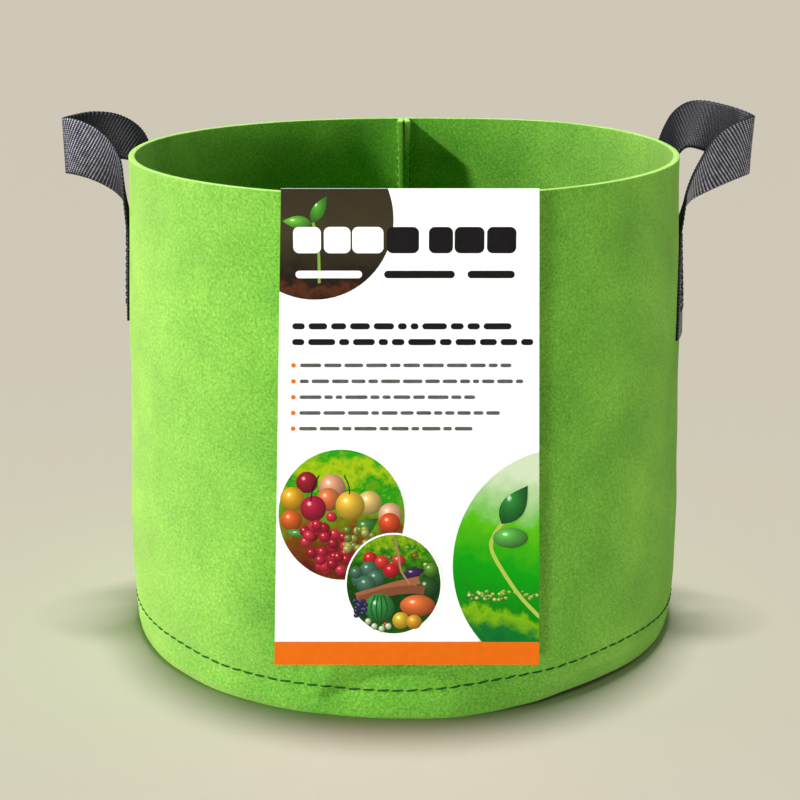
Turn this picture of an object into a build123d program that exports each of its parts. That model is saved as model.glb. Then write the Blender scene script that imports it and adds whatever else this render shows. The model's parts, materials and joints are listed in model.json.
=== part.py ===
"""Fabric grow bag: a felt wall rolled into a cylinder, a felt base, two webbing handles and a hang card.

Millimetres. The origin is the middle of the base's underside, +Z is up, the front is towards -Y,
the handles are at the +X and -X sides and the wall's closing seam is at the back, at +Y.
"""

import os
from math import asin, atan2, degrees, hypot

from build123d import *

# Felt bag
outer_radius = 126.0
bag_height = 220.0
felt = 2.8
inner_radius = outer_radius - felt

# Back seam: both ends of the wall panel turn inwards and stand side by side as a fin
fin_depth = 12.0
fin_gap = 0.3
fin_corner = 3.6
fin_trim_height = 20.0

# Base: a felt disc that lies on the ground, rises to the seam and turns down inside the wall
seam_height = 13.5
fold_height = 17.0
flat_base_radius = 92.0
base_sweep_radius = 40.0
fold_radius = 2.0
ply_gap = 0.15

# Sewing thread, which lies half sunk in the felt
thread = 0.9
fin_stitch_inset = 6.0
fin_stitch_top = 216.0

# Webbing handles
webbing_width = 25.0
webbing = 1.6
handle_azimuth = 95.0
end_spacing = 42.0
end_bottom = 146.0
end_top = 203.0
end_gap = 0.1

# Hinge line of a handle's free loop, in the handle's frame: outwards from the wall, and up
hinge_out = 2.4
hinge_height = 204.0
hinge_clearance = 0.9

# Box-and-cross stitching that holds each end of a handle
stitch_box_width = 18.0
stitch_box_height = 36.0
stitch_centre = 171.0
stitch_width = 0.9
stitch_proud = 0.5
stitch_sunk = 0.2

# Hang card with a narrow tab folded over the rim
card = 0.6
card_top_width = 100.0
card_bottom_width = 109.0
card_bottom = 24.0
card_gap = 0.4
card_tab_width = 34.0
card_tab_length = 26.0
card_fold_radius = 2.9

# Front leg of a handle's loop, from the hinge to the middle of the loop. Each row is a place along
# the webbing: its upper edge, then its lower edge, as (outwards from the wall, round the bag, up).
loop_edges = [
    ((8.0, -30.0, 213.0), (10.5, -6.5, 207.0)),
    ((11.0, -25.5, 222.0), (16.5, -7.0, 208.0)),
    ((15.0, -20.0, 229.5), (21.5, -9.0, 209.0)),
    ((23.5, -13.5, 235.0), (26.5, -9.5, 210.5)),
    ((31.5, 0.0, 234.5), (31.0, 0.0, 209.5)),
]


def wall_plane(azimuth, height):
    """Plane on the wall's outer face: X runs round the bag, Y is up, Z points outwards."""
    outwards = Vector(0, -1, 0).rotate(Axis.Z, azimuth)
    origin = outwards * outer_radius + Vector(0, 0, height)
    return Plane(origin, x_dir=outwards.rotate(Axis.Z, 90), z_dir=outwards)


def loop_planes():
    """Planes across the webbing of the right handle's loop, in order along it, X across its width."""
    outwards = Vector(0, -1, 0).rotate(Axis.Z, handle_azimuth)
    handle = Plane(outwards * outer_radius, x_dir=outwards, z_dir=(0, 0, 1))
    half = webbing_width / 2
    start_out = hinge_out + hinge_clearance * 0.6
    start_up = hinge_height + hinge_clearance * 0.8
    start = (
        (start_out, -end_spacing / 2 - half, start_up),
        (start_out, -end_spacing / 2 + half, start_up),
    )
    front = [start] + loop_edges
    rear = [tuple((out, -along, up) for out, along, up in row) for row in reversed(front[:-1])]
    edges = [[handle.from_local_coords(Vector(*point)) for point in row] for row in front + rear]
    middles = [(upper + lower) / 2 for upper, lower in edges]
    planes = []
    for place, (upper, lower) in enumerate(edges):
        across = (lower - upper).normalized()
        before = middles[max(place - 1, 0)]
        after = middles[min(place + 1, len(edges) - 1)]
        ahead = across.cross((after - before).cross(across))
        planes.append(Plane(middles[place], x_dir=across, z_dir=ahead))
    return planes


def save(builder, name):
    """Label a finished piece and write it as its own STEP file."""
    builder.part.label = name
    export_step(builder.part, f"parts/{name}.step")


os.makedirs("parts", exist_ok=True)

# Wall: one felt strip rolled into a cylinder, its two ends turned in as the fin of the back seam
with BuildPart() as wall_panel:
    with BuildSketch():
        Circle(outer_radius)
        Circle(inner_radius, mode=Mode.SUBTRACT)
        with Locations((0, inner_radius + felt / 2)):
            Rectangle(2 * felt + fin_gap, fin_depth + felt / 2, align=(Align.CENTER, Align.MAX))
        with Locations((0, outer_radius)):
            Rectangle(fin_gap, 3 * fin_depth, mode=Mode.SUBTRACT)
    extrude(amount=bag_height)
    fillet(wall_panel.edges().filter_by(Axis.Z).group_by(Axis.Y)[-1], fin_corner)
    # the fin stops above the base seam, where it would be too thick to sew
    with BuildSketch():
        with Locations((0, inner_radius - ply_gap)):
            Rectangle(4 * felt, 2 * fin_depth, align=(Align.CENTER, Align.MAX))
    extrude(amount=fin_trim_height, mode=Mode.SUBTRACT)
save(wall_panel, "wall_panel")

# Base: flat where it lies on the ground, then up to the seam and down inside the wall
lip_radius = inner_radius - ply_gap - felt / 2
with BuildPart() as base_panel:
    with BuildSketch(Plane.XZ):
        with BuildLine():
            FilletPolyline(
                (0, felt / 2),
                (flat_base_radius, felt / 2),
                (lip_radius, fold_height),
                (lip_radius, 0),
                radius=[base_sweep_radius, fold_radius],
            )
        trace(line_width=felt)
    revolve(axis=Axis.Z)
save(base_panel, "base_panel")

# Thread of the base seam: one line round the wall and one round the inside of the turned-down edge
with BuildPart() as base_seam_thread:
    with BuildSketch(Plane.XZ):
        with Locations((outer_radius, seam_height), (lip_radius - felt / 2, seam_height - thread)):
            Circle(thread / 2)
    revolve(axis=Axis.Z)
save(base_seam_thread, "base_seam_thread")

# Thread of the back seam: one line down each face of the fin
with BuildPart() as back_seam_thread:
    with BuildSketch(Plane.XY.offset(fin_trim_height)):
        with Locations((felt + fin_gap / 2, inner_radius - fin_stitch_inset)):
            Circle(thread / 2)
        mirror(about=Plane.YZ)
    extrude(amount=fin_stitch_top - fin_trim_height)
save(back_seam_thread, "back_seam_thread")

# Handles: the sewn ends and their stitching, the free loop, then the same again on the left
end_offset = degrees(asin(end_spacing / 2 / outer_radius))
cross_lean = degrees(atan2(stitch_box_width, stitch_box_height))
cross_length = hypot(stitch_box_width, stitch_box_height) - 2 * stitch_width
for end, azimuth in (("front", handle_azimuth - end_offset), ("rear", handle_azimuth + end_offset)):
    with BuildPart() as right_end:
        with BuildSketch(wall_plane(azimuth, end_bottom).offset(end_gap)):
            Rectangle(webbing_width, end_top - end_bottom, align=(Align.CENTER, Align.MIN))
        extrude(amount=webbing)
    save(right_end, f"right_handle_{end}_end")

    # the same box and cross shows on the webbing and on the inside of the wall
    with BuildPart() as right_stitching:
        for depth in (end_gap + webbing - stitch_sunk, -felt - stitch_proud):
            with BuildSketch(wall_plane(azimuth, stitch_centre).offset(depth)):
                Rectangle(stitch_box_width, stitch_box_height)
                Rectangle(
                    stitch_box_width - 2 * stitch_width,
                    stitch_box_height - 2 * stitch_width,
                    mode=Mode.SUBTRACT,
                )
                for lean in (-cross_lean, cross_lean):
                    Rectangle(stitch_width, cross_length, rotation=lean)
            extrude(amount=stitch_proud + stitch_sunk)
    save(right_stitching, f"right_handle_{end}_stitching")

    for piece, kind in ((right_end, "end"), (right_stitching, "stitching")):
        with BuildPart() as left_piece:
            mirror(piece.part, about=Plane.YZ)
        save(left_piece, f"left_handle_{end}_{kind}")

with BuildPart() as right_handle_loop:
    for plane in loop_planes():
        with BuildSketch(plane):
            Rectangle(webbing_width, webbing)
    loft()
save(right_handle_loop, "right_handle_loop")

with BuildPart() as left_handle_loop:
    mirror(right_handle_loop.part, about=Plane.YZ)
save(left_handle_loop, "left_handle_loop")

# Card: a flat panel in front of the wall, with a tab folded over the rim and down inside
card_front = outer_radius + card_gap + card
card_top = bag_height + card_fold_radius + card / 2
fold_line = -(card_front - card / 2)
with BuildPart() as info_card:
    with BuildSketch(Plane.XZ.offset(card_front - card)):
        with BuildLine():
            Polyline(
                (-card_bottom_width / 2, card_bottom),
                (card_bottom_width / 2, card_bottom),
                (card_top_width / 2, card_top),
                (-card_top_width / 2, card_top),
                close=True,
            )
        make_face()
    extrude(amount=card)
    with BuildSketch(Plane.YZ):
        with BuildLine():
            Line((fold_line, bag_height - card_tab_length / 2), (fold_line, bag_height))
            ThreePointArc(
                (fold_line, bag_height),
                (fold_line + card_fold_radius, bag_height + card_fold_radius),
                (fold_line + 2 * card_fold_radius, bag_height),
            )
            Line(
                (fold_line + 2 * card_fold_radius, bag_height),
                (fold_line + 2 * card_fold_radius, bag_height - card_tab_length),
            )
        trace(line_width=card)
    extrude(amount=card_tab_width / 2, both=True)
save(info_card, "info_card")
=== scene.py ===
"""Looks of the fabric grow bag: felt wall and base, webbing handles, sewing thread and the hang card."""
import json
import random
from math import asin, atan2, cos, degrees, exp, hypot, pi, radians, sin, sqrt, tau

import bmesh
import bpy
from mathutils import Matrix, Vector, noise

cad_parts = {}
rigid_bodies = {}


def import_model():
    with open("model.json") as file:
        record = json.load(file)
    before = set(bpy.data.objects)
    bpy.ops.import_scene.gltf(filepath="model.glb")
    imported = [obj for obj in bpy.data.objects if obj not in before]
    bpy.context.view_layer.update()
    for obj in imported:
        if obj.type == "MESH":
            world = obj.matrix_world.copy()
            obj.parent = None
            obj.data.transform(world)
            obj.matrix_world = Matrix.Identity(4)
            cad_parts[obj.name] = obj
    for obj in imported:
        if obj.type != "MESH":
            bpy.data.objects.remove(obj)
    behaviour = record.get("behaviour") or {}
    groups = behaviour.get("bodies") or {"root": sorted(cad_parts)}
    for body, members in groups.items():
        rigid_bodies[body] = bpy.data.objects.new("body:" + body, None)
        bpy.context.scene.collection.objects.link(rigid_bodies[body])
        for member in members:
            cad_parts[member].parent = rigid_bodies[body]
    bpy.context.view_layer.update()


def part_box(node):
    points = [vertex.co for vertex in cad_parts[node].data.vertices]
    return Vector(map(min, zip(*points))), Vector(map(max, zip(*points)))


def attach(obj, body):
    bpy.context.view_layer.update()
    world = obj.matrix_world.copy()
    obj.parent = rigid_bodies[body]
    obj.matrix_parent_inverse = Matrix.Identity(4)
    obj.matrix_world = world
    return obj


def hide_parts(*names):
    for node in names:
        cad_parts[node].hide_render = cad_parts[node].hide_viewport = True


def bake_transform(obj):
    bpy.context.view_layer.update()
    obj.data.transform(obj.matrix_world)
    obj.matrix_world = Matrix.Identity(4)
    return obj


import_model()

MM = 0.001

wall_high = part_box("wall_panel")[1]
card_low, card_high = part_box("info_card")

# Felt
FELT = 2.8 * MM
RADIUS = wall_high.x
HEIGHT = wall_high.z
MIDDLE = RADIUS - FELT / 2
FIN_GAP = 0.02 * MM
FIN_DEPTH = 12 * MM
FIN_CORNER = 2.3 * MM
FIN_TRIM = 20 * MM
# the fin's left end was cut this much longer, and its ends spread apart most near the rim
FIN_OVERHANG = 1.6 * MM
FIN_SPREAD = 0.03 * MM
FIN_RIM_SPREAD = 0.5 * MM
FIN_RIM_REACH = 20 * MM
# the gap between the wall and the base's turned-down edge
LIP_GAP = 0.2 * MM

# Seams
SEAM_HEIGHT = 13.5 * MM
BASE_STITCHES = 132
BASE_STITCH_SHARE = 0.83
THREAD = 0.95 * MM
FINE_THREAD = 0.7 * MM
FIN_STITCH_INSET = 6.0 * MM
FIN_STITCH_PITCH = 4.5 * MM
FIN_STITCH_SHARE = 0.78
# each stitch of the base seam pulls a dimple into the wall: its width, and its depth in millimetres
DIMPLE_WIDTH = 1.7 * MM
DIMPLE_DEPTH = 0.4
DIMPLE_RIPPLE = 0.2

# Card
CARD = 0.6 * MM
CARD_FRONT = card_low.y
CARD_REST = -(card_low.y + CARD) - 0.2 * MM
CARD_TOP = card_high.z
CARD_FOOT = card_low.z
TAB_WIDTH = 34 * MM
TAB_THICK = 0.3 * MM
TAB_SHOULDER = 219 * MM
# how far down the tab reaches on the back of the card, and inside the wall
TAB_GLUED = 214 * MM
TAB_INSIDE = 197 * MM
# ink lies this far off the card, and each shape this much further than the one before
INK_GAP = 0.02 * MM
INK_LAYER = 0.0015 * MM

# Webbing
WEBBING_WIDTH = 25 * MM
WEBBING = 1.1 * MM
WEBBING_OUT = WEBBING / 2 + 0.1 * MM      # the middle of webbing that lies on the felt
RIB_PITCH = 1.5 * MM
RIB_HEIGHT = 0.12 * MM
YARN = 0.9 * MM
STEPS_PER_RIB = 6
STEPS_ACROSS = 16
STEPS_PER_ROW = 30
HANDLE_AZIMUTH = radians(95)
END_SPACING = 42 * MM
END_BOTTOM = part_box("left_handle_front_end")[0].z
# webbing is flat on the wall up to the first height and free of it from the second
SEWN_TOP = 183 * MM
FREE_FROM = 190 * MM
# the right handle hangs lower, and below the last height its front end leans and shifts to the front
RIGHT_DROP = 5 * MM
ASKEW_LEAN = 0.2
ASKEW_SHIFT = 8 * MM
ASKEW_HEIGHTS = (160 * MM, 190 * MM)
STITCH_CENTRE = 171 * MM
STITCH_BOX = (18 * MM, 36 * MM)
STITCH_LENGTH = 3.2 * MM


# ---------------------------------------------------------------- small tools

def linear(code):
    """Linear colour of an sRGB hex code."""
    channels = (int(code[place:place + 2], 16) / 255 for place in (1, 3, 5))
    return [c / 12.92 if c <= 0.04045 else ((c + 0.055) / 1.055) ** 2.4 for c in channels] + [1.0]


def node(tree, kind, inputs=None, **settings):
    """A shader node with its settings, its input values and its links."""
    made = tree.nodes.new(kind)
    for name, value in settings.items():
        setattr(made, name, value)
    for name, value in (inputs or {}).items():
        if isinstance(value, bpy.types.NodeSocket):
            tree.links.new(value, made.inputs[name])
        else:
            made.inputs[name].default_value = value
    return made


def maths(tree, operation, *values):
    """The result of a maths node on its values, in order."""
    return node(tree, "ShaderNodeMath", dict(enumerate(values)), operation=operation).outputs[0]


def speckle(tree, place, size, **values):
    """Noise in patches of about this many millimetres."""
    made = node(tree, "ShaderNodeTexNoise", {"Vector": place, "Scale": 1 / (size * MM), **values})
    return made.outputs["Fac"]


def own_place(tree):
    """Place in the piece's own frame."""
    return node(tree, "ShaderNodeTexCoord").outputs["Object"]


def roughen(tree, shader, height, strength, depth):
    """Relief on a material, its depth in millimetres."""
    bump = node(tree, "ShaderNodeBump", {"Height": height, "Strength": strength, "Distance": depth * MM})
    tree.links.new(bump.outputs["Normal"], shader.inputs["Normal"])


def ramp(tree, factor, stops):
    """A colour ramp through (place, hex code or grey level) stops."""
    made = node(tree, "ShaderNodeValToRGB", {"Fac": factor})
    band = made.color_ramp
    while len(band.elements) < len(stops):
        band.elements.new(0.5)
    for element, (place, colour) in zip(band.elements, stops):
        element.position = place
        element.color = linear(colour) if isinstance(colour, str) else [colour] * 3 + [1.0]
    return made.outputs["Color"]


def new_material(name, **values):
    """A material with one Principled shader, with the given values on its own sockets."""
    material = bpy.data.materials.new(name)
    material.use_nodes = True
    tree = material.node_tree
    shader = tree.nodes["Principled BSDF"]
    for socket, value in values.items():
        shader.inputs[socket.replace("_", " ")].default_value = value
    return material, tree, shader


def add_piece(name, bm, materials, smooth=True):
    """A finished bmesh as an object at the origin."""
    mesh = bpy.data.meshes.new(name)
    bm.to_mesh(mesh)
    bm.free()
    for material in materials:
        mesh.materials.append(material)
    for face in mesh.polygons:
        face.use_smooth = smooth
    piece = bpy.data.objects.new(name, mesh)
    bpy.context.scene.collection.objects.link(piece)
    return piece


def apply_modifiers(piece):
    """The piece with its modifiers made into its mesh."""
    graph = bpy.context.evaluated_depsgraph_get()
    mesh = bpy.data.meshes.new_from_object(piece.evaluated_get(graph))
    piece.modifiers.clear()
    piece.data = mesh


def only(geometry, kind):
    """The verts, the edges or the faces among some geometry."""
    return [part for part in geometry if isinstance(part, kind)]


def outwards_at(azimuth):
    """The way that the wall faces at this azimuth."""
    return Vector((sin(azimuth), -cos(azimuth), 0))


def smooth_step(value, low, high):
    """0 below low and 1 above high, with a smooth rise between them."""
    share = min(max((value - low) / (high - low), 0.0), 1.0)
    return share * share * (3 - 2 * share)


def through(points, place):
    """A smooth curve through (place, value) points, flat beyond its ends."""
    if place <= points[0][0]:
        return points[0][1]
    for (p0, v0), (p1, v1) in zip(points, points[1:]):
        if place <= p1:
            return v0 + (v1 - v0) * smooth_step(place, p0, p1)
    return points[-1][1]


def catmull(points, place):
    """A point on the smooth line through points, with place counted in points from the first."""
    last = len(points) - 1
    index = min(int(place), last - 1)
    t = place - index
    before = points[max(index - 1, 0)]
    start, end = points[index], points[index + 1]
    after = points[min(index + 2, last)]
    return 0.5 * (
        2 * start + (end - before) * t
        + (2 * before - 5 * start + 4 * end - after) * t ** 2
        + (3 * start - before - 3 * end + after) * t ** 3
    )


# ---------------------------------------------------------------- materials

def felt_material(name, tone):
    """Needle-punched polyester felt: matt, with short tangled fibres that mottle and roughen it."""
    material, tree, shader = new_material(name, Roughness=0.93, Sheen_Weight=0.45, Sheen_Roughness=0.5,
                                          Sheen_Tint=(1.0, 0.86, 0.42, 1.0), Specular_IOR_Level=0.15)
    place = own_place(tree)
    # clumps of fibre, then single tangled fibres, then the uneven laying of the web over a few centimetres
    clumps = speckle(tree, place, 1.1, Detail=5.0, Roughness=0.7)
    fibres = speckle(tree, place, 0.55, Detail=3.0, Roughness=0.65, Distortion=5.0)
    web = speckle(tree, place, 30, Detail=3.0)
    mix = maths(tree, "ADD", clumps, fibres)
    mix = maths(tree, "MULTIPLY_ADD", web, 0.4, mix)
    mix = maths(tree, "MULTIPLY", mix, 1 / 2.4)
    colour = ramp(tree, mix, [(0.39, tone[0]), (0.5, tone[1]), (0.61, tone[2])])
    tree.links.new(colour, shader.inputs["Base Color"])
    rough = maths(tree, "MULTIPLY", clumps, fibres)
    roughen(tree, shader, rough, 0.75, 1.1)
    return material


def webbing_material(name, stops):
    """Woven polypropylene webbing: near-black blue, with dull highlights painted on its ribs and painted
    shade between them, broken by the warp.
    """
    material, tree, shader = new_material(name, Roughness=0.5, Specular_IOR_Level=0.3)
    uv = node(tree, "ShaderNodeUVMap", uv_map="weave").outputs["UV"]
    parts = node(tree, "ShaderNodeSeparateXYZ", {"Vector": uv})
    # U counts warp yarns across the width, V counts ribs along the length
    warp = maths(tree, "MULTIPLY", parts.outputs["X"], tau)
    rib = maths(tree, "MULTIPLY", parts.outputs["Y"], tau)
    warp_wave = maths(tree, "SINE", warp)
    rib_wave = maths(tree, "COSINE", rib)
    crossing = maths(tree, "MULTIPLY_ADD", warp_wave, 0.35, rib_wave)
    # patches that break up the painted highlights, and the ribs' relief with them
    relief_and_highlight_patches = node(tree, "ShaderNodeTexNoise", {"Vector": uv, "Scale": 0.35, "Detail": 4.0}).outputs["Fac"]
    height = maths(tree, "MULTIPLY_ADD", relief_and_highlight_patches, 1.4, crossing)
    level = node(tree, "ShaderNodeMapRange", {"Value": height, "From Min": -1.1, "From Max": 2.3})
    colour = ramp(tree, level.outputs["Result"], stops)
    tree.links.new(colour, shader.inputs["Base Color"])
    roughen(tree, shader, height, 0.5, 0.25)
    return material


def thread_material(name, dark, light):
    """Polyester sewing thread: a dull shine, its tone broken up by its plies."""
    material, tree, shader = new_material(name, Roughness=0.7, Specular_IOR_Level=0.15)
    place = own_place(tree)
    plies = speckle(tree, place, 0.6, Detail=2.0)
    tree.links.new(ramp(tree, plies, [(0.35, dark), (0.65, light)]), shader.inputs["Base Color"])
    return material


def board_material():
    """Coated white card: smooth, faintly glossy, with a slight tooth."""
    material, tree, shader = new_material("coated_card", Roughness=0.42)
    place = own_place(tree)
    tooth = speckle(tree, place, 4, Detail=6.0)
    tree.links.new(ramp(tree, tooth, [(0.3, "#FBFBFB"), (0.7, "#FEFEFE")]), shader.inputs["Base Color"])
    roughen(tree, shader, tooth, 0.05, 0.1)
    return material


def ink_material(name, dark, light):
    """Printing ink on coated card: flat and dull, its tone varying a little with the screen."""
    material, tree, shader = new_material(name, Roughness=0.6, Specular_IOR_Level=0.12)
    place = own_place(tree)
    screen = speckle(tree, place, 3.0, Detail=4.0, Roughness=0.6)
    tree.links.new(ramp(tree, screen, [(0.35, dark), (0.65, light)]), shader.inputs["Base Color"])
    return material


def fruit_ink_material():
    """Printed fruit: each disc carries its own ink colour, shaded round by its UV map."""
    material, tree, shader = new_material("printed_fruit_ink", Roughness=0.6, Specular_IOR_Level=0.12)
    ink = node(tree, "ShaderNodeAttribute", attribute_name="ink").outputs["Color"]
    uv = node(tree, "ShaderNodeUVMap", uv_map="disc").outputs["UV"]
    lit = node(tree, "ShaderNodeVectorMath", {0: uv, 1: (0.35, 0.68, 0.0)},
               operation="DISTANCE").outputs["Value"]
    shade = ramp(tree, lit, [(0.05, 0.95), (0.35, 0.5), (0.8, 0.1)])
    toned = node(tree, "ShaderNodeMix", {0: 1.0, "A": ink, "B": shade},
                 data_type="RGBA", blend_type="MULTIPLY")
    glint = ramp(tree, lit, [(0.0, 0.6), (0.1, 0.0)])
    colour = node(tree, "ShaderNodeMix", {0: 1.0}, data_type="RGBA", blend_type="ADD")
    tree.links.new(toned.outputs["Result"], colour.inputs["A"])
    tree.links.new(glint, colour.inputs["B"])
    tree.links.new(colour.outputs["Result"], shader.inputs["Base Color"])
    return material


felt = felt_material("needle_punched_green_felt", ("#348018", "#5CAC28", "#94D24A"))
# the same felt in paler tones for the cut edges: a painted highlight where light catches them
felt_edge_painted_highlight = felt_material("cut_edge_of_green_felt_with_painted_highlight", ("#78C048", "#9CDA66", "#C0EE8C"))
# copy with painted highlights: pale grey on the rib crests, and painted shade, near black, in the valleys
webbing = webbing_material("woven_polypropylene_webbing_with_painted_highlights", [
    (0.0, "#06060C"), (0.45, "#12121C"), (0.66, "#3C3C4A"), (0.9, "#A8A8B2")])
# a darker copy of the same webbing, its highlights turned down: painted shade
shaded_webbing_copy = webbing_material("woven_polypropylene_webbing_with_painted_shade", [
    (0.0, "#07070D"), (0.55, "#0C0C14"), (0.8, "#14141E"), (1.0, "#262630")])
seam_thread = thread_material("dark_green_polyester_thread", "#0E300C", "#24601C")
handle_thread = thread_material("black_polyester_thread", "#15151C", "#3A3A46")


# ---------------------------------------------------------------- felt wall

# How far the wall stands from a true cylinder, by height: in at the rim, full low down and rounded under
# at the foot
WALL_LEAN = [(0.0, 0.0), (6 * MM, 1.4 * MM), (13 * MM, 3.1 * MM), (26 * MM, 3.6 * MM),
             (55 * MM, 3.5 * MM), (85 * MM, 2.4 * MM), (130 * MM, 1.2 * MM), (220 * MM, -2.1 * MM)]

# How far the rim stands above or below its height, by azimuth in degrees
RIM_WAVE = [(-180, 0.4 * MM), (-110, 0.9 * MM), (-60, 0.2 * MM), (-20, 0.0), (25, 0.0), (70, 0.3 * MM),
            (135, 1.9 * MM), (180, 0.4 * MM)]

# How far the foot spreads or tucks in, by azimuth in degrees
FOOT_SPREAD = [(-180, 0.0), (-90, 2.0 * MM), (-68, 1.8 * MM), (-52, 2.9 * MM), (-36, 4.0 * MM),
               (-22, 3.9 * MM), (-12, 2.9 * MM), (0, 3.3 * MM), (8, 3.3 * MM), (16, 2.4 * MM),
               (24, 1.4 * MM), (34, -0.4 * MM), (45, -0.6 * MM), (58, 0.1 * MM), (70, 0.4 * MM),
               (80, 1.0 * MM), (90, 1.2 * MM), (180, 0.0)]

# How far the foot is lifted off the ground, by azimuth in degrees
FOOT_LIFT = [(-180, 0.0), (8, 0.0), (38, 1.8 * MM), (75, 0.4 * MM), (180, 0.0)]
LIFT_REACH = 70 * MM

# Height of the base seam's stitches, which were sewn by eye, by azimuth in degrees
SEAM_LINE = [(-180, 13.5 * MM), (-75, 14.2 * MM), (-53, 14.4 * MM), (-34, 12.4 * MM), (0, 12.3 * MM),
             (29, 14.7 * MM), (47, 15.6 * MM), (75, 14.2 * MM), (180, 13.5 * MM)]

# The wall is flatter behind the card. This starts and is complete at these cosines of the azimuth.
FLAT_FRONT = (0.88, 0.98)

# How far up the foot's spread reaches, and how much further at the front, in millimetres
SPREAD_REACH = 15
FRONT_SPREAD_REACH = 9

# The wall keeps behind the card where the azimuth's cosine is above this. Below the card it may come
# forward again, by up to the given room at the height given.
BEHIND_CARD = 0.85
ROOM_BELOW_CARD = 3 * MM
ROOM_HEIGHT = 15 * MM


def seam_line(azimuth):
    """Height of the base seam's stitches at this azimuth, which may be beyond half a turn."""
    turn = (degrees(azimuth) + 180) % 360 - 180
    return through(SEAM_LINE, turn) + 0.15 * MM * sin(9 * azimuth)


def wall_offset(azimuth, height):
    """How far the felt stands out from a true cylinder, at a height and an azimuth within half a turn
    either way of the front."""
    ring = outwards_at(azimuth)
    slow = noise.noise(ring * 1.3 + Vector((3.1, 0.7, height / (90 * MM))))
    quick = noise.noise(ring * 4.0 + Vector((9.0, 2.0, height / (45 * MM))))
    front = smooth_step(cos(azimuth), *FLAT_FRONT)
    lean = through(WALL_LEAN, height)
    offset = min(lean, lean * (1 - front)) + 0.45 * MM * slow + 0.2 * MM * quick
    reach = (SPREAD_REACH + FRONT_SPREAD_REACH * front) * MM
    offset += through(FOOT_SPREAD, degrees(azimuth)) * (1 - smooth_step(height, 0, reach))
    pull = exp(-((height - seam_line(azimuth)) / DIMPLE_WIDTH) ** 2)
    offset -= pull * (DIMPLE_DEPTH + DIMPLE_RIPPLE * cos(azimuth * BASE_STITCHES)) * MM
    if cos(azimuth) > BEHIND_CARD:
        room = ROOM_BELOW_CARD * (1 - smooth_step(height, ROOM_HEIGHT, CARD_FOOT))
        offset = min(offset, CARD_REST / cos(azimuth) - RADIUS + room)
    return offset


def wall_rise(azimuth, height):
    """How far the felt has moved up at this azimuth and height, from the waves of its rim and its foot."""
    rim = through(RIM_WAVE, degrees(azimuth)) * (height / HEIGHT) ** 3
    return rim + through(FOOT_LIFT, degrees(azimuth)) * max(0.0, 1 - height / LIFT_REACH)


def on_wall(azimuth, height, out=0.0):
    """A point on the wall's outer face, or out beyond it."""
    reach = MIDDLE + FELT / 2 + wall_offset(azimuth, height) + out
    return Vector((reach * sin(azimuth), -reach * cos(azimuth), height + wall_rise(azimuth, height)))


def azimuth_of(point):
    """Angle round the bag, 0 at the front and positive to the right."""
    return atan2(point.x, -point.y)


def felt_heights():
    """Heights of the rows of the wall's mesh, closer together at the foot and the rim."""
    heights = [0.0]
    while heights[-1] < HEIGHT:
        step = 1.2 * MM if heights[-1] < 24 * MM or heights[-1] > HEIGHT - 6 * MM else 4 * MM
        heights.append(min(heights[-1] + step, HEIGHT))
    return heights


def make_wall():
    """One strip of felt, rolled, with both ends turned in as the fin of the back seam."""
    bm = bmesh.new()
    heights = felt_heights()
    foot = bm.verts.new((0, -MIDDLE, heights[0]))
    for low, high in zip(heights, heights[1:]):
        made = bmesh.ops.extrude_vert_indiv(bm, verts=[foot])
        foot = made["verts"][0]
        foot.co.z = high
    # the tangent point of the fin's corner, on the right of the back seam
    leg = FELT / 2 + FIN_GAP / 2
    corner = Vector((leg + FIN_CORNER, sqrt((MIDDLE - FIN_CORNER) ** 2 - (leg + FIN_CORNER) ** 2), 0))
    turn = asin((leg + FIN_CORNER) / (MIDDLE - FIN_CORNER))
    edge = bmesh.ops.spin(bm, geom=bm.verts[:] + bm.edges[:], cent=(0, 0, 0), axis=(0, 0, 1), angle=pi - turn,
                          steps=2 * BASE_STITCHES)["geom_last"]
    edge = bmesh.ops.spin(bm, geom=edge, cent=corner, axis=(0, 0, 1), angle=pi / 2 + turn,
                          steps=6)["geom_last"]
    rows = 6
    run = corner.y - (MIDDLE - FELT / 2 - FIN_DEPTH)
    for _ in range(rows):
        made = bmesh.ops.extrude_edge_only(bm, edges=only(edge, bmesh.types.BMEdge))["geom"]
        moved = only(made, bmesh.types.BMVert)
        bmesh.ops.translate(bm, verts=moved, vec=(0, -run / rows, 0))
        edge = moved + only(made, bmesh.types.BMEdge)
    bmesh.ops.mirror(bm, geom=bm.verts[:] + bm.edges[:] + bm.faces[:], axis="X", merge_dist=0.01 * MM)
    # the fin is trimmed away above the base seam
    root = corner.y - 0.5 * MM
    trimmed = []
    for face in bm.faces:
        centre = face.calc_center_median()
        if 0 < centre.y < root and abs(centre.x) < 2 * leg and centre.z < FIN_TRIM:
            trimmed.append(face)
    bmesh.ops.delete(bm, geom=trimmed, context="FACES")
    bmesh.ops.recalc_face_normals(bm, faces=bm.faces[:])
    for v in bm.verts:
        azimuth = azimuth_of(v.co)
        height = v.co.z
        v.co += outwards_at(azimuth) * wall_offset(azimuth, height)
        v.co.z += wall_rise(azimuth, height)
        # the fin's raw ends spread apart past their stitches
        free = smooth_step(corner.y - v.co.y, FIN_STITCH_INSET - 2 * MM, FIN_DEPTH)
        if abs(v.co.x) < 2 * leg and v.co.y > MIDDLE - 2 * FIN_DEPTH:
            spread = FIN_SPREAD + FIN_RIM_SPREAD * smooth_step(height, HEIGHT - FIN_RIM_REACH, HEIGHT)
            if v.co.x < 0:
                v.co.y -= FIN_OVERHANG * free
            v.co.x += (1 if v.co.x > 0 else -1) * free * spread
    wall = add_piece("felt_wall", bm, [felt, felt_edge_painted_highlight])
    finish_felt(wall)
    # the fin's vertical cut ends take the plain felt, without the painted highlight of the other cut edges
    for face in wall.data.polygons:
        in_fin = face.center.y > MIDDLE - 2 * FIN_DEPTH and abs(face.center.x) < 2 * leg + FELT
        if in_fin and face.normal.z < 0.5:
            face.material_index = 0
    return wall


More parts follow.
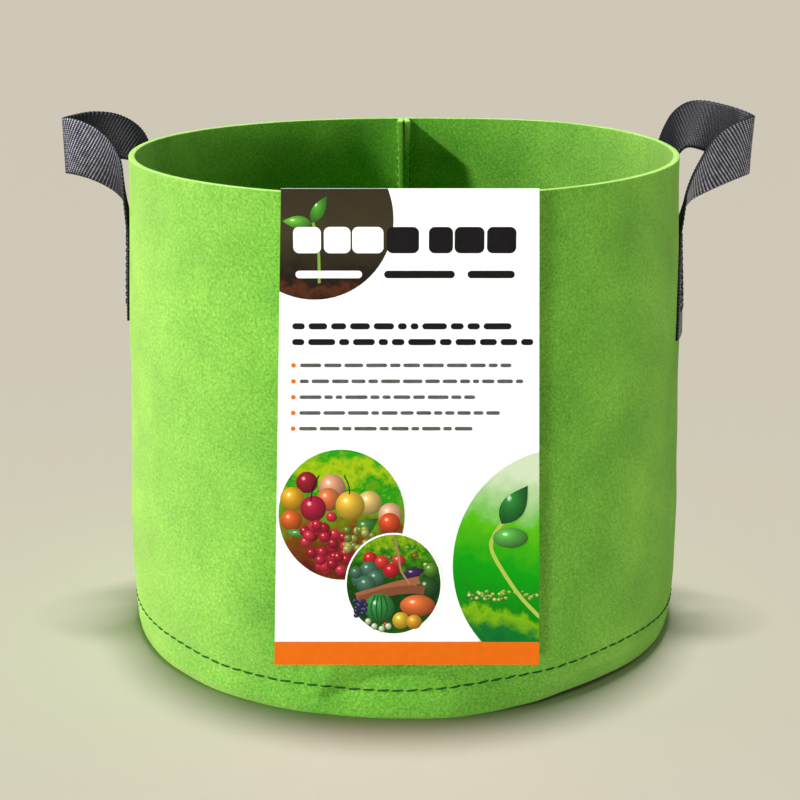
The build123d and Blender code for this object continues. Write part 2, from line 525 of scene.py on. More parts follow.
def finish_felt(piece):
    """Felt's thickness about its middle surface, with softly broken cut edges."""
    shell = piece.modifiers.new("felt", "SOLIDIFY")
    shell.thickness = FELT
    shell.offset = 0.0
    shell.use_even_offset = True
    # the cut edges take the second material, the paler felt that is a painted highlight
    shell.material_offset_rim = 1
    edge = piece.modifiers.new("cut edge", "BEVEL")
    edge.width = 0.45 * MM
    edge.segments = 2
    edge.limit_method = "ANGLE"
    edge.angle_limit = radians(50)
    apply_modifiers(piece)


# Radii between which the base's puckers grow, and between which it is held more and more to the wall
PUCKERS = (60 * MM, 110 * MM)
HELD = (96 * MM, 118 * MM)


def make_base():
    """The felt disc: flat on the ground, up to the seam, and down inside the wall."""
    bm = bmesh.new()
    lip = RADIUS - FELT - LIP_GAP - FELT / 2
    # radius and height of the felt's middle, in millimetres, from the centre out
    profile = [(0.0, 1.4), (92.0, 1.4), (116.5, 12.6), (119.4, 13.9), (121.0, 13.6), (lip / MM, 12.0),
               (lip / MM, 0.0)]
    first = bm.verts.new((profile[0][0] * MM, 0, profile[0][1] * MM))
    for radius, height in profile[1:]:
        first = bmesh.ops.extrude_vert_indiv(bm, verts=[first])["verts"][0]
        first.co = (radius * MM, 0, height * MM)
    long_edges = [e for e in bm.edges if e.calc_length() > 20 * MM]
    bmesh.ops.subdivide_edges(bm, edges=long_edges, cuts=9)
    bmesh.ops.spin(bm, geom=bm.verts[:] + bm.edges[:], cent=(0, 0, 0), axis=(0, 0, 1), angle=tau,
                   steps=180, use_merge=True, use_duplicate=False)
    bmesh.ops.remove_doubles(bm, verts=bm.verts[:], dist=0.01 * MM)
    bmesh.ops.recalc_face_normals(bm, faces=bm.faces[:])
    for v in bm.verts:
        radius = hypot(v.co.x, v.co.y)
        azimuth = azimuth_of(v.co)
        rise = smooth_step(radius, *PUCKERS) * smooth_step(HELD[1] - radius, 0, 6 * MM)
        # shallow puckers where the disc is gathered into the seam
        v.co.z += rise * 0.5 * MM * (1.6 + sin(17 * azimuth) + 0.6 * sin(29 * azimuth + 1.0))
        # the turned-down edge is sewn to the wall, and goes wherever the wall goes
        held = smooth_step(radius, *HELD)
        height = v.co.z
        v.co += outwards_at(azimuth) * held * wall_offset(azimuth, height)
        v.co.z += held * (wall_rise(azimuth, height) + height * (seam_line(azimuth) / SEAM_HEIGHT - 1))
    base = add_piece("felt_base", bm, [felt, felt_edge_painted_highlight])
    finish_felt(base)
    return base


# ---------------------------------------------------------------- stitches

def sew(name, stitches, material):
    """A row of stitches, each given by its two ends, the way it faces and its thickness: thread that
    rises out of the cloth, lies along it and dives back in."""
    small = bmesh.new()
    bmesh.ops.create_uvsphere(small, u_segments=8, v_segments=8, radius=0.5)
    for v in small.verts:
        # fuller than an egg towards its ends, as thread is
        v.co.xy *= 1 + 0.35 * (2 * v.co.z) ** 2
        v.co.y += 0.42 * (1 - (2 * v.co.z) ** 2)
    stitch = bpy.data.meshes.new("stitch")
    small.to_mesh(stitch)
    small.free()
    bm = bmesh.new()
    for start, end, outwards, thickness in stitches:
        along = (end - start).normalized()
        across = outwards.cross(along).normalized()
        turned = Matrix((across, along.cross(across), along)).transposed().to_4x4()
        size = Matrix.Diagonal((thickness, thickness * 0.8, (end - start).length, 1))
        placed = stitch.copy()
        placed.transform(Matrix.Translation((start + end) / 2) @ turned @ size)
        bm.from_mesh(placed)
        bpy.data.meshes.remove(placed)
    bpy.data.meshes.remove(stitch)
    return add_piece(name, bm, [material])


def make_base_stitches():
    """The base seam's long stitches round the wall, and the row inside the turned-down edge."""
    by_eye = random.Random(7)
    stitches = []
    for index in range(BASE_STITCHES):
        middle = (index + 0.5) * tau / BASE_STITCHES - pi
        half = BASE_STITCH_SHARE * pi / BASE_STITCHES
        skew = by_eye.uniform(-0.1, 0.35) * MM
        ends = [on_wall(middle + way * half, seam_line(middle + way * half) + way * skew, 0.15 * MM)
                for way in (-1, 1)]
        outwards = outwards_at(middle)
        stitches.append((*ends, outwards, THREAD))
        inner = RADIUS - FELT - LIP_GAP - FELT - 0.1 * MM
        ends = [Vector((inner * sin(a), -inner * cos(a), 9 * MM)) for a in (middle - half, middle + half)]
        stitches.append((*ends, -outwards, THREAD))
    return sew("base_seam_stitches", stitches, seam_thread)


def make_fin_stitches():
    """The back seam's stitches, one row down each face of the fin."""
    stitches = []
    for index in range(int((HEIGHT - 4 * MM - FIN_TRIM) / FIN_STITCH_PITCH)):
        low = FIN_TRIM + 1 * MM + index * FIN_STITCH_PITCH
        for side in (-1, 1):
            ends = [Vector((side * (FELT + FIN_GAP / 2 + 0.1 * MM),
                            RADIUS - FELT - FIN_STITCH_INSET + wall_offset(pi, height), height))
                    for height in (low, low + FIN_STITCH_SHARE * FIN_STITCH_PITCH)]
            stitches.append((*ends, Vector((side, 0, 0)), FINE_THREAD))
    return sew("back_seam_stitches", stitches, seam_thread)


def handle_azimuth(side, along, height):
    """Azimuth of a place on the wall: side is 1 on the right, along is metres round the bag from the
    handle's middle towards the back. The front end of the right handle was sewn on askew."""
    askew = 0.0
    if side > 0 and along < 0:
        askew = ASKEW_LEAN * max(0.0, ASKEW_HEIGHTS[1] - height)
        askew += ASKEW_SHIFT * (1 - smooth_step(height, *ASKEW_HEIGHTS))
    return side * (HANDLE_AZIMUTH + (along - askew) / RADIUS)


def make_handle_stitches(name, side, end):
    """A box and cross of stitches through one end of a handle, and the same inside the wall."""
    w, h = STITCH_BOX[0] / 2, STITCH_BOX[1] / 2
    corners = [Vector((-w, -h)), Vector((w, -h)), Vector((w, h)), Vector((-w, h))]
    lines = list(zip(corners, corners[1:] + corners[:1]))
    lines += [(corners[0], corners[2]), (corners[1], corners[3])]
    stitches = []
    for out, faces in ((WEBBING + 0.1 * MM, 1), (-FELT - 0.05 * MM, -1)):
        for first, last in lines:
            count = round((last - first).length / STITCH_LENGTH)
            for index in range(count):
                ends = []
                for share in (0.1, 0.9):
                    spot = first.lerp(last, (index + share) / count)
                    height = STITCH_CENTRE + spot.y
                    azimuth = handle_azimuth(side, end * END_SPACING / 2 + spot.x, height)
                    ends.append(on_wall(azimuth, height, out))
                outwards = outwards_at(azimuth_of(ends[0]))
                stitches.append((*ends, faces * outwards, FINE_THREAD))
    return sew(name, stitches, handle_thread)


# ---------------------------------------------------------------- webbing handles

# The free part of each handle, from its front sewn end over the top to its rear sewn end. Each row is
# the webbing's upper selvedge and then its lower one, as millimetres (out from the wall, round the bag
# towards the back, up). The two loops were never bent alike.
LOOPS = {
    -1: [
        ((-3.3, -33.5, 203), (0.7, -8.7, 191.5)),
        ((-3, -32.8, 210.5), (2.2, -9.4, 196.5)),
        ((-1.3, -29.8, 219.5), (6, -10.6, 201)),
        ((3.3, -26, 226.5), (11.6, -12, 204.7)),
        ((9.8, -21.5, 231.3), (17.5, -12.5, 207.2)),
        ((17, -17.5, 234), (23, -12.3, 208.6)),
        ((24.5, -12.5, 235), (27.5, -10.5, 209.2)),
        ((30.6, -4.5, 234), (30, -4.5, 208.8)),
        ((28.5, 4.5, 234.2), (28.3, 1.5, 210)),
        ((22.5, 13, 234.8), (22, 5.5, 211.5)),
        ((14, 21, 233), (14.5, 8.2, 213.3)),
        ((7, 26.5, 228.8), (7.5, 9.8, 214.2)),
        ((2.2, 31, 223.3), (3.2, 10, 212.6)),
        ((-0.5, 33.3, 216), (1.4, 9.2, 207.5)),
        ((-2.8, 33.6, 206), (0.8, 8.6, 199)),
    ],
    1: [
        ((-3.2, -33.2, 198), (0.8, -8.8, 189.5)),
        ((-2.4, -32, 204), (2.4, -9.8, 194)),
        ((0.5, -29.8, 211), (6, -11, 198.6)),
        ((5.3, -27.5, 219.5), (12, -12.5, 202)),
        ((9.5, -25.5, 226), (18, -13.5, 204.5)),
        ((15.5, -22, 231.3), (23.5, -14, 206.5)),
        ((23, -18.8, 234.6), (28, -13.5, 208)),
        ((30, -13.5, 235.8), (31.3, -11, 208.8)),
        ((34, -5.5, 235.2), (31.8, -6, 209.7)),
        ((31.5, 1.5, 236.5), (28, 0, 211.8)),
        ((25.1, 7, 238.3), (21.5, 2.3, 214.7)),
        ((15.5, 14.5, 239.5), (13.5, 4.5, 218.5)),
        ((9.4, 21, 237.7), (7.3, 7.5, 219.8)),
        ((4.7, 26.8, 233), (3.8, 9.3, 216.5)),
        ((1.7, 31, 226.3), (2, 10, 211)),
        ((-0.8, 33.2, 218), (1.3, 9.2, 205)),
        ((-2.8, 33.6, 208), (0.8, 8.6, 198)),
    ],
}


def loop_point(side, out, along, up):
    """A point given in millimetres from the middle of a handle."""
    outwards = outwards_at(HANDLE_AZIMUTH)
    point = outwards * (RADIUS + out * MM) + Vector((-outwards.y, outwards.x, 0)) * along * MM
    return Vector((side * point.x, point.y, up * MM))


def sewn_rows(side, end):
    """Selvedges of one sewn end of a handle, flat on the wall, from its cut end upwards."""
    rows = []
    foot = END_BOTTOM - (RIGHT_DROP if side > 0 else 0)
    for height in (foot, 155 * MM, 165 * MM, 175 * MM, SEWN_TOP):
        places = [end * (END_SPACING / 2 + across) for across in (WEBBING_WIDTH / 2, -WEBBING_WIDTH / 2)]
        rows.append([on_wall(handle_azimuth(side, along, height), height, WEBBING_OUT) for along in places])
    return rows


def make_strap(name, side):
    """One length of webbing: up from its front sewn end, over the loop and down to its rear sewn end."""
    rows = sewn_rows(side, -1)
    rows += [[loop_point(side, *selvedge) for selvedge in row] for row in LOOPS[side]]
    rows += sewn_rows(side, 1)[::-1]
    middles = [(upper + lower) / 2 for upper, lower in rows]
    # lengths along the middle, so that the ribs are evenly spaced
    fine = STEPS_PER_ROW * (len(rows) - 1)
    line = [catmull(middles, index / STEPS_PER_ROW) for index in range(fine + 1)]
    lengths = [0.0]
    for before, after in zip(line, line[1:]):
        lengths.append(lengths[-1] + (after - before).length)
    ribs = round(lengths[-1] / RIB_PITCH)
    along = ribs * STEPS_PER_RIB
    sections = []
    step = 0
    for index in range(along + 1):
        wanted = lengths[-1] * index / along
        while step < fine - 1 and lengths[step + 1] < wanted:
            step += 1
        place = (step + (wanted - lengths[step]) / (lengths[step + 1] - lengths[step])) / STEPS_PER_ROW
        upper = catmull([row[0] for row in rows], place)
        lower = catmull([row[1] for row in rows], place)
        ahead = line[min(step + 2, fine)] - line[max(step - 1, 0)]
        width = (upper - lower).normalized()
        # half its width, drawn half of the way towards the stock width
        half = (upper - lower).length / 4 + WEBBING_WIDTH / 4
        sections.append(((upper + lower) / 2, width, half, ahead.cross(width).normalized()))
    bm = bmesh.new()
    weave = bm.loops.layers.uv.new("weave")
    bmesh.ops.create_grid(bm, x_segments=along, y_segments=STEPS_ACROSS, size=1)
    for face in bm.faces:
        for loop in face.loops:
            x, y = (loop.vert.co.x + 1) / 2, loop.vert.co.y
            loop[weave].uv = (y * WEBBING_WIDTH / 2 / YARN, x * ribs + rib_slant(x) * y)
    for v in bm.verts:
        share, place = (v.co.x + 1) / 2, v.co.y
        middle, width, half, facing = sections[round(share * along)]
        rib = cos((share * ribs + rib_slant(share) * place) * tau)
        selvedge = 0.1 * MM * rib if abs(place) > 0.99 else 0
        v.co = middle + width * (half + selvedge) * place + facing * RIB_HEIGHT * rib
        keep_off_wall(v)
    bmesh.ops.recalc_face_normals(bm, faces=bm.faces[:])
    strap = add_piece(name, bm, [shaded_webbing_copy, webbing])
    shell = strap.modifiers.new("webbing", "SOLIDIFY")
    shell.thickness = WEBBING
    shell.offset = 0.0
    # one face and the selvedges take the darker copy with painted shade, the other face the copy with painted
    # highlights
    shell.material_offset = 1
    apply_modifiers(strap)
    return strap


def rib_slant(share):
    """Ribs by which a rib's upper end lags behind its middle, where the loop's bend drags it askew."""
    lag = 3.2 * smooth_step(share, 0.27, 0.4) * (1 - smooth_step(share, 0.43, 0.53))
    lead = 2.5 * smooth_step(share, 0.5, 0.6) * (1 - smooth_step(share, 0.6, 0.73))
    return lag - lead


def keep_off_wall(v):
    """Moves a point of the webbing out onto the wall's face where it is sewn down, and out of the felt
    above that. This is for the handle at rest: a strap that is swung far out cuts the wall a little."""
    if v.co.z > HEIGHT + 1.5 * MM:
        return
    face = on_wall(azimuth_of(v.co), v.co.z, WEBBING_OUT)
    least, reach = hypot(face.x, face.y), hypot(v.co.x, v.co.y)
    sewn = 1 - smooth_step(v.co.z, SEWN_TOP, FREE_FROM)
    wanted = least * sewn + max(reach, least) * (1 - sewn)
    v.co.x *= wanted / reach
    v.co.y *= wanted / reach


# ---------------------------------------------------------------- card

# Sides of the card, as millimetres across at its top and at its foot
CARD_SIDES = ((-47.9, -54.3), (51.7, 55.9))


def make_card():
    """The card's flat board, and the narrow tab on its back that is folded over the rim."""
    bm = bmesh.new()
    left, right = CARD_SIDES
    outline = [(left[0], CARD_TOP), (right[0], CARD_TOP), (right[1], CARD_FOOT), (left[1], CARD_FOOT)]
    corners = [bm.verts.new((x * MM, CARD_FRONT, z)) for x, z in outline]
    board = bmesh.ops.contextual_create(bm, geom=corners)["faces"]
    back = bmesh.ops.extrude_face_region(bm, geom=board)["geom"]
    bmesh.ops.translate(bm, verts=only(back, bmesh.types.BMVert), vec=(0, CARD, 0))
    # the tab's line: up the back of the board, over the rim and down inside the wall
    behind = CARD_FRONT + CARD + 0.22 * MM
    inside = -RADIUS + FELT + 4.4 * MM
    over = HEIGHT + 1.3 * MM
    tab = [bm.verts.new((-TAB_WIDTH / 2, behind, TAB_GLUED))]
    for y, z in ((behind, TAB_SHOULDER), (behind + 0.5 * MM, over - 0.4 * MM), (behind + 1.4 * MM, over),
                 (inside - 1.4 * MM, over), (inside - 0.5 * MM, over - 0.4 * MM), (inside, TAB_SHOULDER),
                 (inside, TAB_INSIDE)):
        tab.append(bmesh.ops.extrude_vert_indiv(bm, verts=[tab[-1]])["verts"][0])
        tab[-1].co = (-TAB_WIDTH / 2, y, z)
    line = [e for e in bm.edges if e.verts[0] in tab and e.verts[1] in tab]
    strip = bmesh.ops.extrude_edge_only(bm, edges=line)["geom"]
    bmesh.ops.translate(bm, verts=only(strip, bmesh.types.BMVert), vec=(TAB_WIDTH, 0, 0))
    bmesh.ops.solidify(bm, geom=only(strip, bmesh.types.BMFace), thickness=TAB_THICK)
    bmesh.ops.recalc_face_normals(bm, faces=bm.faces[:])
    return add_piece("card_board", bm, [board_material()], smooth=False)


class Print:
    """The card's printing: flat shapes of ink, each a hair in front of the one before."""

    def __init__(self, materials):
        self.bm = bmesh.new()
        self.uv = self.bm.loops.layers.uv.new("disc")
        self.ink = self.bm.loops.layers.float_color.new("ink")
        self.materials = materials
        self.layer = 0

    def fill(self, outline, material, colour="#FFFFFF", rounded=True):
        """One flat shape, from its outline in millimetres across and up, shaded as if round or left flat."""
        self.layer += 1
        y = CARD_FRONT - INK_GAP - self.layer * INK_LAYER
        verts = [self.bm.verts.new((x * MM, y, z * MM)) for x, z in outline]
        face = bmesh.ops.contextual_create(self.bm, geom=verts)["faces"][0]
        face.material_index = self.materials.index(material)
        wide = [min(x for x, z in outline), max(x for x, z in outline)]
        high = [min(z for x, z in outline), max(z for x, z in outline)]
        for loop in face.loops:
            loop[self.ink] = linear(colour)
            if rounded:
                loop[self.uv].uv = ((loop.vert.co.x / MM - wide[0]) / (wide[1] - wide[0]),
                                    (loop.vert.co.z / MM - high[0]) / (high[1] - high[0]))
            else:
                loop[self.uv].uv = (0.5, 0.5)

    def disc(self, x, z, wide, high, material, colour="#FFFFFF", sides=28):
        """A disc about a middle, from its half width and half height."""
        self.fill([(x + wide * cos(tau * i / sides), z + high * sin(tau * i / sides)) for i in range(sides)],
                  material, colour)

    def bar(self, x, z, length, height, material, corner=None):
        """A bar with rounded corners, from its left end on its middle line."""
        r = corner or min(height, length) / 2
        outline, sides = [], 28
        for i in range(sides):
            turn = tau * (i + 0.5) / sides
            outline.append((x + (length - r if cos(turn) > 0 else r) + r * cos(turn),
                            z + (height / 2 - r) * (1 if sin(turn) > 0 else -1) + r * sin(turn)))
        self.fill(outline, material)

    def leaf(self, base, tip, belly, material, colour):
        """A leaf with a point at each end."""
        base, tip = Vector(base), Vector(tip)
        side = (tip - base).orthogonal().normalized() * belly / 2
        edge = []
        for way, steps in ((1, range(0, 9)), (-1, range(8, 0, -1))):
            for i in steps:
                edge.append(base.lerp(tip, i / 8) + way * side * sin(pi * (i / 8) ** 0.8))
        self.fill([tuple(p) for p in edge[:9] + edge[10:]], material, colour)

    def stem(self, points, width, material, colour):
        """A stem of even width along a smooth line."""
        points = [Vector(p) for p in points]
        steps = 6 * (len(points) - 1)
        line = [catmull(points, i / 6) for i in range(steps + 1)]
        sides = []
        for i, p in enumerate(line):
            ahead = (line[min(i + 1, steps)] - line[max(i - 1, 0)]).normalized() * width / 2
            sides.append(((p.x - ahead.y, p.y + ahead.x), (p.x + ahead.y, p.y - ahead.x)))
        for before, after in zip(sides, sides[1:]):
            self.fill([before[0], before[1], after[1], after[0]], material, colour, rounded=False)
            self.layer -= 1
        self.layer += 1


def picture_material(name, heights, stops, grain, strength, sideways=0.0):
    """Printed picture: inks that change up the card, broken up by the blur of a printed background."""
    material, tree, shader = new_material(name, Roughness=0.6, Specular_IOR_Level=0.12)
    place = own_place(tree)
    parts = node(tree, "ShaderNodeSeparateXYZ", {"Vector": place})
    blur = speckle(tree, place, grain, Detail=4.0, Roughness=0.6)
    up = node(tree, "ShaderNodeMapRange", {"Value": parts.outputs["Z"], "From Min": heights[0] * MM,
                                           "From Max": heights[1] * MM}).outputs["Result"]
    aside = maths(tree, "MULTIPLY_ADD", parts.outputs["X"], sideways, up)
    mixed = maths(tree, "MULTIPLY_ADD", blur, strength, aside)
    level = maths(tree, "SUBTRACT", mixed, strength / 2)
    tree.links.new(ramp(tree, level, stops), shader.inputs["Base Color"])
    return material


def words(art, x, z, end, height, material, seed, shortest=3.0, longest=11.0, space=1.5):
    """A line of printed words, each shown as a plain bar."""
    by_eye = random.Random(seed)
    while x < end - shortest:
        length = min(by_eye.uniform(shortest, longest), end - x)
        art.bar(x, z, length, height, material)
        x += length + space


def make_print():
    """Everything printed on the card."""
    black = ink_material("black_ink_on_card", "#0A0809", "#100E0F")
    grey = ink_material("grey_ink_on_card", "#4E4C4B", "#5E5C5B")
    white = ink_material("white_unprinted_card", "#FBFBFB", "#FEFEFE")
    orange = ink_material("orange_ink_on_card", "#D86404", "#DC6806")
    fruit = fruit_ink_material()
    soil = picture_material("printed_soil_picture", (178, 224), [
        (0.0, "#0E0602"), (0.12, "#4E260C"), (0.2, "#1A0E05"), (0.3, "#221A0C"), (0.6, "#38321C"),
        (1.0, "#302818")], 5, 0.35)
    orchard = picture_material("printed_orchard_picture", (62, 118), [
        (0.0, "#541500"), (0.35, "#703D00"), (0.6, "#549600"), (0.72, "#008A00"), (0.85, "#9EB800"),
        (1.0, "#1D9700")], 9, 0.9)
    garden = picture_material("printed_garden_picture", (38, 82), [
        (0.0, "#145000"), (0.3, "#063300"), (0.6, "#0F4700"), (0.8, "#357B00"), (1.0, "#82A300")], 2.5, 0.9)
    meadow = picture_material("printed_meadow_picture", (34, 118), [
        (0.0, "#005024"), (0.16, "#006D21"), (0.24, "#74AA00"), (0.28, "#007C00"), (0.5, "#009400"),
        (0.72, "#50AF00"), (1.0, "#C5D5B3")], 6, 0.22, 2.5)
    art = Print([black, grey, white, orange, fruit, soil, orchard, garden, meadow])

    # soil with a seedling, at the top left
    art.disc(-35.5, 211.4, 31.0, 32.0, soil, sides=72)
    art.stem([(-35.7, 210), (-34.2, 203), (-33.6, 196), (-33.6, 186)], 1.1, fruit, "#8CC63E")
    art.leaf((-36.2, 209.6), (-47.6, 210.6), 5.2, fruit, "#6CC23A")
    art.leaf((-36.4, 209.8), (-30.2, 220.4), 5.0, fruit, "#55B030")
    # title, in blocks: white on the picture and black on the card
    for x, length in ((-43.5, 10.8), (-31.6, 10.4), (-20.6, 12.2)):
        art.bar(x, 203.1, length, 10.4, white, 2.4)
    for x, length in ((-7.2, 12.6), (9.2, 9.4), (19.2, 11.6), (31.8, 11.4)):
        art.bar(x, 203.1, length, 10.4, black, 2.4)
    art.bar(-42.8, 189.5, 26.0, 3.0, white)
    art.bar(-8.2, 189.5, 27.6, 3.0, black)
    art.bar(24.4, 189.5, 18.4, 3.0, black)
    # two bold lines and five points
    words(art, -44.4, 168.7, 42.0, 2.5, black, 3)
    words(art, -44.6, 162.3, 50.6, 2.5, black, 8)
    for row, end in enumerate((42.1, 47.2, 27.9, 38.4, 28.9)):
        z = 152.8 - 6.55 * row
        art.disc(-44.2 - 0.15 * row, z, 0.95, 0.95, orange, sides=16)
        words(art, -41.6 - 0.2 * row, z, end, 1.5, grey, 20 + row, 2.5, 9.0, 1.1)

    # fruit
    art.disc(-25.7, 89.8, 25.6, 28.0, orchard, sides=72)
    for x, z, r, colour in ((-39.6, 103.9, 4.4, "#A81C30"), (-29.4, 101.8, 5.4, "#F2B088"),
                            (-45.6, 96.9, 4.9, "#F4B724"), (-31.0, 96.6, 4.8, "#F08048"),
                            (-37.2, 92.8, 5.3, "#BE1E40"), (-14.4, 95.2, 4.9, "#F4D27C"),
                            (-22.2, 94.0, 5.9, "#F8CA40"), (-5.9, 90.0, 4.9, "#F6BE96"),
                            (-46.2, 87.6, 4.4, "#EA6C24"), (-6.2, 86.4, 4.3, "#EC5624")):
        art.disc(x, z, r, r * 1.05, fruit, colour)
    art.stem([(-38.2, 96), (-37, 102), (-34.6, 107)], 0.5, black, "#302018")
    art.stem([(-22.4, 99), (-22.8, 103), (-24.6, 107)], 0.5, black, "#302018")
    art.leaf((-20.5, 82.0), (-11.0, 88.4), 6.5, fruit, "#3F8A34")
    art.leaf((-48.6, 83.4), (-38.0, 80.0), 3.2, fruit, "#57A04A")
    by_eye = random.Random(11)
    for index in range(46):
        z = by_eye.uniform(66, 90)
        x = -31 + by_eye.uniform(-11, 11) * (1 - abs(z - 80) / 24) + (80 - z) * 0.1
        art.disc(x, z, 2.3, 2.3, fruit, by_eye.choice(("#C8203C", "#B01830", "#DC3448")), 16)
    for index in range(18):
        art.disc(by_eye.uniform(-24, -13), by_eye.uniform(75, 84), 1.7, 1.7, fruit,
                 by_eye.choice(("#9CAC46", "#B4BE5C", "#7E9034")), 14)

    # vegetables in a basket
    art.disc(-4.6, 59.8, 20.0, 22.5, white, sides=72)
    art.disc(-4.6, 59.8, 19.3, 21.8, garden, sides=72)
    for index in range(34):
        turn, reach = by_eye.uniform(0, tau), 20 * sqrt(by_eye.uniform(0.2, 0.92))
        x, z = -4.6 + reach * cos(turn) * 0.88, 59.8 + reach * sin(turn)
        art.disc(x, z, 1.0, 0.9, fruit,
                 by_eye.choice(("#F0E050", "#E6EED2", "#7EB83C", "#4E9A34", "#D8402C")), 10)
    for x, z, r, colour in ((-14.2, 71.2, 2.9, "#D8242E"), (-9.4, 69.4, 3.0, "#E83A34"),
                            (-5.6, 65.8, 3.2, "#D8202A"), (-2.6, 70.2, 2.8, "#E2403C"),
                            (9.4, 58.4, 4.8, "#2A5A26"), (10.6, 66.2, 3.2, "#5E9A32")):
        art.disc(x, z, r, r, fruit, colour)
    for x, z, r in ((-18.4, 62.2, 3.6), (-14.8, 66.2, 3.8), (-11.8, 62.4, 3.8), (-15.8, 59.6, 4.0),
                    (-20, 65, 2.6)):
        art.disc(x, z, r, r, fruit, "#4A7A5E")
    art.leaf((-1.0, 63.2), (8.4, 66.4), 4.8, fruit, "#43285C")
    art.stem([(-20, 54.4), (-12, 56.8), (-4, 59.4), (6, 61.8)], 3.4, fruit, "#B06C46")
    art.stem([(-19, 52.8), (-8, 56.2), (2, 57.6), (8, 57.0)], 3.6, fruit, "#8E5234")
    art.stem([(-4.4, 80.6), (-2.8, 74), (-1.6, 66), (2.0, 60)], 0.9, fruit, "#B88A60")
    for x, z, wide, high, colour in ((-10.4, 49.4, 6.2, 6.4, "#3C9A48"), (5.2, 50.4, 7.2, 4.8, "#F4783A"),
                                     (-1.6, 43.8, 3.6, 3.8, "#ECC436"), (3.8, 43.2, 3.2, 3.2, "#F0B02C")):
        art.disc(x, z, wide, high, fruit, colour)
    for shift in (-3.6, -1.4, 0.9, 3.2):
        x = -10.4 + shift * 0.5
        art.stem([(x, 55), (-10.4 + shift, 49.4), (x, 43.6)], 0.6, fruit, "#1B5A28")
    for index in range(14):
        art.disc(by_eye.uniform(-21, -16), by_eye.uniform(46, 53), 1.1, 1.1, fruit, "#3A3468", 12)
    for x, z in ((-15.2, 43.4), (-12.6, 41.2), (-9.6, 40.0), (-6.8, 41.2)):
        art.disc(x, z, 1.3, 1.5, fruit, "#DDEBC4", 12)

    # a seedling in a meadow, cut by the right edge and the band
    art.disc(63.9, 68.5, 44.3, 49.5, meadow, sides=96)
    for index in range(46):
        art.disc(by_eye.uniform(23.5, 55), 55.5 + by_eye.uniform(-2.5, 1.2), 0.9, 0.8, fruit,
                 by_eye.choice(("#C4D84A", "#9CCB3C", "#E2E48A", "#5FA838")), 10)
    art.stem([(57.0, 44.0), (47.5, 54.5), (39.0, 67.5), (35.2, 76.0), (36.6, 82.0), (39.6, 86.6)],
             1.6, fruit, "#C2DC58")
    art.leaf((39.3, 86.2), (49.6, 102.6), 10.0, fruit, "#2C8A36")
    art.disc(43.0, 80.2, 7.2, 4.4, fruit, "#63BE4E")
    art.bar(-60.0, 29.0, 130.0, 10.6, orange)
    return trim_print(art)


def trim_print(art):
    """The printing, cut off at the card's edges."""
    left, right = CARD_SIDES
    cuts = [((0, 0, CARD_TOP), (0, 0, 1)), ((0, 0, CARD_FOOT), (0, 0, -1))]
    for (top, foot), way in ((left, -1), (right, 1)):
        across = Vector((way * (CARD_TOP - CARD_FOOT), 0, way * (top - foot) * MM * -1)).normalized()
        cuts.append(((top * MM, 0, CARD_TOP), across))
    for place, outwards in cuts:
        everything = art.bm.verts[:] + art.bm.edges[:] + art.bm.faces[:]
        bmesh.ops.bisect_plane(art.bm, geom=everything, dist=0.0, plane_co=place, plane_no=outwards,
                               clear_outer=True)
    for face in art.bm.faces:
        if face.normal.y > 0:
            face.normal_flip()
    return add_piece("card_print", art.bm, art.materials, smooth=False)


# ---------------------------------------------------------------- put together

wall = make_wall()
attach(wall, "bag")
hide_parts("wall_panel")

base = make_base()
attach(base, "bag")
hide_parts("base_panel")

base_stitches = make_base_stitches()
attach(base_stitches, "bag")
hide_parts("base_seam_thread")

fin_stitches = make_fin_stitches()
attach(fin_stitches, "bag")
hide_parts("back_seam_thread")

for side, side_name in ((-1, "left"), (1, "right")):
    strap = make_strap(f"{side_name}_handle_webbing", side)
    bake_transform(strap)
    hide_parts(f"{side_name}_handle_loop", f"{side_name}_handle_front_end",
                f"{side_name}_handle_rear_end")
    for end, end_name in ((-1, "front"), (1, "rear")):
        stitches = make_handle_stitches(f"{side_name}_{end_name}_end_stitches", side, end)
        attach(stitches, "bag")
        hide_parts(f"{side_name}_handle_{end_name}_stitching")

card = make_card()
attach(card, "card")
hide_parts("info_card")

card_print = make_print()
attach(card_print, "card")


# ---------------------------------------------------------------- studio

def make_floor():
    """A wide pale floor."""
    bm = bmesh.new()
    bmesh.ops.create_grid(bm, x_segments=1, y_segments=1, size=12)
    paper = new_material("matt_studio_paper", Roughness=0.9, Base_Color=linear("#D8D0BE"))[0]
    floor = add_piece("studio_floor", bm, [paper])


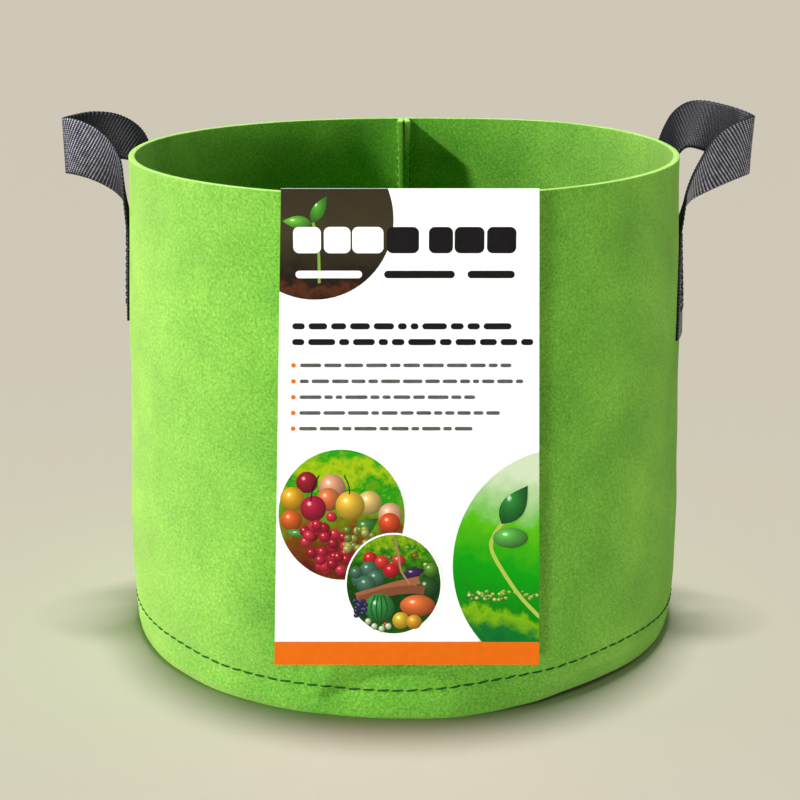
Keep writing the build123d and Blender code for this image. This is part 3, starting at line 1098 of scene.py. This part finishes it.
def make_light(name, position, target, size, power, lit):
    """A round soft lamp that shines on one collection only."""
    light = bpy.data.lights.new(name, "AREA")
    light.shape = "DISK"
    light.size = size
    light.energy = power
    lamp = bpy.data.objects.new(name, light)
    lamp.location = position
    lamp.rotation_euler = (Vector(target) - Vector(position)).to_track_quat("-Z", "Y").to_euler()
    bpy.context.scene.collection.objects.link(lamp)
    lamp.light_linking.receiver_collection = lit


def make_studio():
    """Four lamps round the bag that are flagged off the floor, one overhead that lights everything and
    casts no shadow of the card, and faint light all round."""
    bag = bpy.data.collections.new("lit_by_side_lamps")
    for piece in bpy.context.scene.objects:
        if piece.type == "MESH":
            bag.objects.link(piece)
    make_floor()
    make_light("side_lamp", (-2.45, -0.5, 2.2), target=(0, 0, 0.12), size=0.25, power=160, lit=bag)
    make_light("low_left_lamp", (-1.0, -0.4, 0.12), target=(0, 0, 0.06), size=0.3, power=3.2, lit=bag)
    make_light("front_lamp", (-1.0, -2.6, 0.16), target=(0, 0, 0.1), size=0.6, power=46, lit=bag)
    make_light("right_lamp", (2.5, -1.0, 0.3), target=(0, 0, 0.1), size=0.8, power=37, lit=bag)
    overhead = bpy.data.lights.new("overhead_lamp", "SUN")
    overhead.energy = 2.65
    overhead.angle = radians(9.5)
    lamp = bpy.data.objects.new("overhead_lamp", overhead)
    lamp.rotation_euler = Vector((-0.01, -0.115, -1)).to_track_quat("-Z", "Y").to_euler()
    bpy.context.scene.collection.objects.link(lamp)
    casting = bpy.data.collections.new("in_the_overhead_lamp")
    for piece in bag.objects:
        if not piece.name.startswith("card"):
            casting.objects.link(piece)
    lamp.light_linking.blocker_collection = casting
    world = bpy.data.worlds.new("studio")
    world.use_nodes = True
    sky = world.node_tree.nodes["Background"].inputs
    sky["Color"].default_value = (1, 1, 1, 1)
    sky["Strength"].default_value = 0.09
    bpy.context.scene.world = world
    bpy.context.scene.view_settings.view_transform = "Standard"


def make_camera():
    """Camera at the front, a little above the rim, tilted down at the bag."""
    lens = bpy.data.cameras.new("camera")
    lens.sensor_width = 36
    lens.lens = 78.7
    lens.clip_end = 50
    camera = bpy.data.objects.new("camera", lens)
    camera.location = (-0.0020, -0.797, 0.3305)
    camera.rotation_euler = (radians(90 - 15.99), 0, 0)
    bpy.context.scene.collection.objects.link(camera)
    bpy.context.scene.camera = camera


make_studio()
make_camera()
